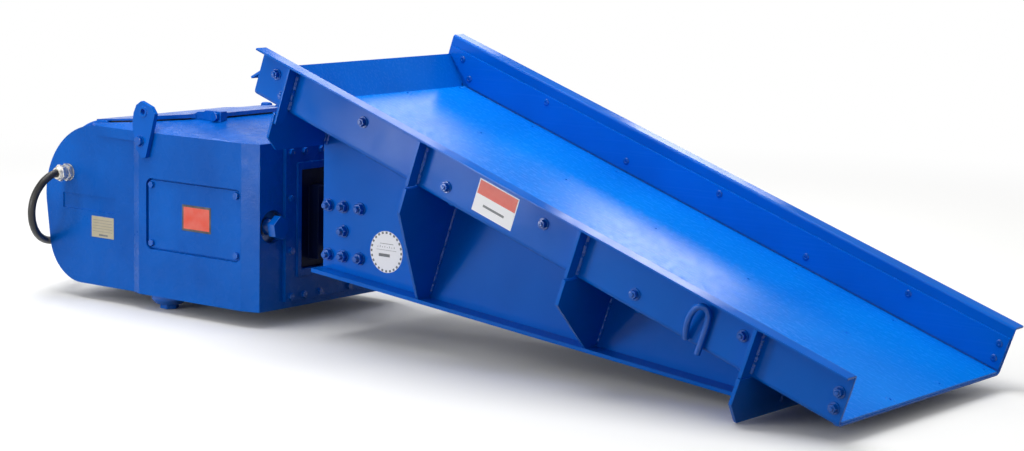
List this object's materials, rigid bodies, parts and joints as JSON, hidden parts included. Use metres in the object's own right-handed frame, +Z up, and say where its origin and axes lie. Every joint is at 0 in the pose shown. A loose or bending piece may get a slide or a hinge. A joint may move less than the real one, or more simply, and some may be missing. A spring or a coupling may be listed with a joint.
{
  "type": "linear vibratory feeder",
  "caption": "Electromagnetic vibratory feeder: a level spring drive below a sloping lined steel trough that shakes bulk material forward.",
  "frame": {"origin": "centre of the bounding box of the machine without its cable, at floor level", "axes": "+X to the discharge end along the stroke line, +Y across to the machine's left, +Z up"},
  "size_m": [3.0286, 0.853, 0.7703],
  "materials": {
    "enamel": "gloss",
    "enamel_inside": "satin",
    "steel": "satin",
    "zinc": "satin",
    "rubber": "matt",
    "cable_sheath": "satin",
    "copper": "satin",
    "lamination": "matt",
    "plate": "satin",
    "label": "gloss",
    "white_label": "gloss"
  },
  "bodies": {
    "drive": {"drive_casting": "enamel", "seal_frame": "enamel", "seal_frame_bolts": "enamel", "dust_seal": "rubber", "top_cover": "enamel", "cover_gasket": "rubber", "cover_clamps": "enamel", "cover_clamp_bolts": "steel", "inspection_cover_left": "enamel", "inspection_cover_right": "enamel", "inspection_screws": "enamel", "suspension_bracket_left": "enamel", "suspension_bracket_right": "enamel", "bracket_bolts": "enamel", "drive_feet": "enamel", "jack_screws": "enamel", "jack_nuts": "steel", "spring_seats": "enamel_inside", "spring_end_clamps": "steel", "leaf_springs": "steel", "spring_spacers": "zinc", "magnet_core": "lamination", "magnet_coil": "copper", "magnet_bracket": "enamel_inside", "gland_body": "zinc", "gland_nut": "zinc", "power_cable": "cable_sheath", "cable_coil": "cable_sheath", "coil_tie": "cable_sheath", "cable_cores": "copper", "rating_plate": "plate", "cover_label": "label"},
    "trough": {"centre_piece": "enamel_inside", "centre_bolts": "steel", "armature": "lamination", "wing_plate_left": "enamel", "wing_plate_right": "enamel", "wing_bolts": "enamel", "stroke_gauge": "white_label", "trough_pan": "enamel", "back_plate": "enamel", "rear_rib": "enamel", "front_rib": "enamel", "wall_stiffeners_left": "enamel", "wall_stiffeners_right": "enamel", "gusset_rear_left": "enamel", "gusset_rear_right": "enamel", "gusset_mid_left": "enamel", "gusset_mid_right": "enamel", "lifting_eye_left": "enamel", "lifting_eye_right": "enamel", "floor_liner": "enamel", "side_liner_left": "enamel", "side_liner_right": "enamel", "side_bolts": "enamel", "floor_bolt_set": "steel", "wall_label": "white_label"}
  },
  "joints": [
    {"name": "trough_stroke", "type": "slide", "parent": "drive", "child": "trough", "axis": [1, 0, 0], "range_m": [-0.0009, 0.0009], "stiffness_N_per_m": 4000000}
  ]
}
